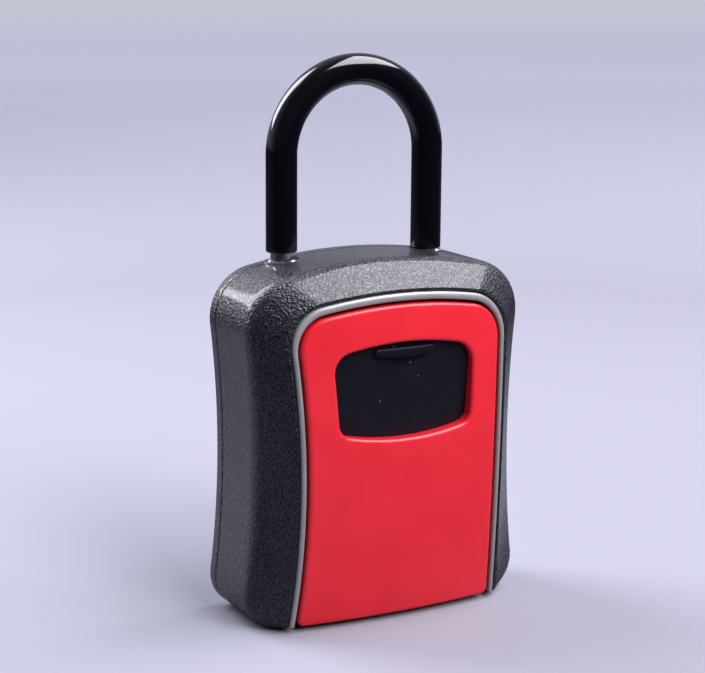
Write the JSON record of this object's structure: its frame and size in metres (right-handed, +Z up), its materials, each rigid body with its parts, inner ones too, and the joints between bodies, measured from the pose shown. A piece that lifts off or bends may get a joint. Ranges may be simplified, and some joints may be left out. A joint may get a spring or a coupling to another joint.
{
  "type": "key lock box",
  "caption": "Portable key lock box: waisted hammertone case, crowned red drop door with a sliding dial cover, satin trim and a vinyl-covered steel shackle.",
  "frame": {"origin": "bottom centre of the bounding box, on the surface the box stands on", "axes": "+Z up along the shackle, -Y out of the door, +X to the right of the door seen from the front"},
  "size_m": [0.0992, 0.0436, 0.1785],
  "materials": {
    "hammer_paint": "dark grey hammertone enamel on die-cast zinc",
    "satin_metal": "satin silver, brushed and clear-coated",
    "screw_steel": "zinc-plated machine steel",
    "cast_zinc": "bare die-cast zinc alloy",
    "plated_steel": "zinc-plated sheet steel",
    "shackle_steel": "polished hardened steel",
    "vinyl": "glossy black vinyl sleeve",
    "red_paint": "satin red enamel",
    "black_plastic": "satin black moulded plastic",
    "dial_metal": "black-filled number wheel with white digits",
    "brass": "turned brass"
  },
  "bodies": {
    "root": {"rear_cover": "hammer_paint", "front_housing": "hammer_paint", "trim_bezel": "satin_metal", "rear_cover_screws": "screw_steel", "hinge_pin": "screw_steel", "key_hook": "screw_steel", "shackle_guide": "cast_zinc", "guide_screws": "screw_steel", "strike_plate": "plated_steel", "strike_screws": "screw_steel"},
    "shackle": {"shackle_bar": "shackle_steel", "shackle_sleeve": "vinyl", "shackle_clip": "plated_steel"},
    "shackle_lock": {"shackle_lock_plate": "plated_steel"},
    "door": {"door_skin": "red_paint", "dial_plate": "black_plastic", "dial_carrier": "cast_zinc", "door_back_cover": "plated_steel", "back_cover_screws": "screw_steel", "plate_screws": "screw_steel", "dial_axle": "screw_steel", "detent_spring": "plated_steel", "latch_spring": "plated_steel"},
    "shutter": {"shutter": "black_plastic"},
    "latch": {"latch_bar": "cast_zinc", "latch_knob": "satin_metal"},
    "reset": {"reset_lever": "black_plastic"},
    "dial_1": {"dial_1": "dial_metal", "code_sleeve_1": "brass"},
    "dial_2": {"dial_2": "dial_metal", "code_sleeve_2": "brass"},
    "dial_3": {"dial_3": "dial_metal", "code_sleeve_3": "brass"},
    "dial_4": {"dial_4": "dial_metal", "code_sleeve_4": "brass"}
  },
  "joints": [
    {"name": "door_hinge", "type": "hinge", "parent": "root", "child": "door", "pos_m": [0, -0.009, 0.006], "axis": [1, 0, 0], "range_deg": [0, 90]},
    {"name": "shackle_lift", "type": "slide", "parent": "root", "child": "shackle", "axis": [0, 0, 1], "range_m": [0, 0.024]},
    {"name": "shackle_lock_slide", "type": "slide", "parent": "root", "child": "shackle_lock", "axis": [1, 0, 0], "range_m": [0, 0.003]},
    {"name": "shutter_slide", "type": "slide", "parent": "door", "child": "shutter", "axis": [0, 0, -1], "range_m": [0, 0.024]},
    {"name": "latch_slide", "type": "slide", "parent": "door", "child": "latch", "axis": [0, 0, -1], "range_m": [0, 0.005], "stiffness_N_per_m": 300, "springref_m": -0.002},
    {"name": "reset_slide", "type": "slide", "parent": "door", "child": "reset", "axis": [1, 0, 0], "range_m": [0, 0.004]},
    {"name": "dial_1_turn", "type": "hinge", "parent": "door", "child": "dial_1", "pos_m": [-0.0164, -0.0069, 0.0805], "axis": [1, 0, 0], "continuous": true},
    {"name": "dial_2_turn", "type": "hinge", "parent": "door", "child": "dial_2", "pos_m": [-0.0078, -0.0069, 0.0805], "axis": [1, 0, 0], "continuous": true},
    {"name": "dial_3_turn", "type": "hinge", "parent": "door", "child": "dial_3", "pos_m": [0.0008, -0.0069, 0.0805], "axis": [1, 0, 0], "continuous": true},
    {"name": "dial_4_turn", "type": "hinge", "parent": "door", "child": "dial_4", "pos_m": [0.0094, -0.0069, 0.0805], "axis": [1, 0, 0], "continuous": true}
  ]
}
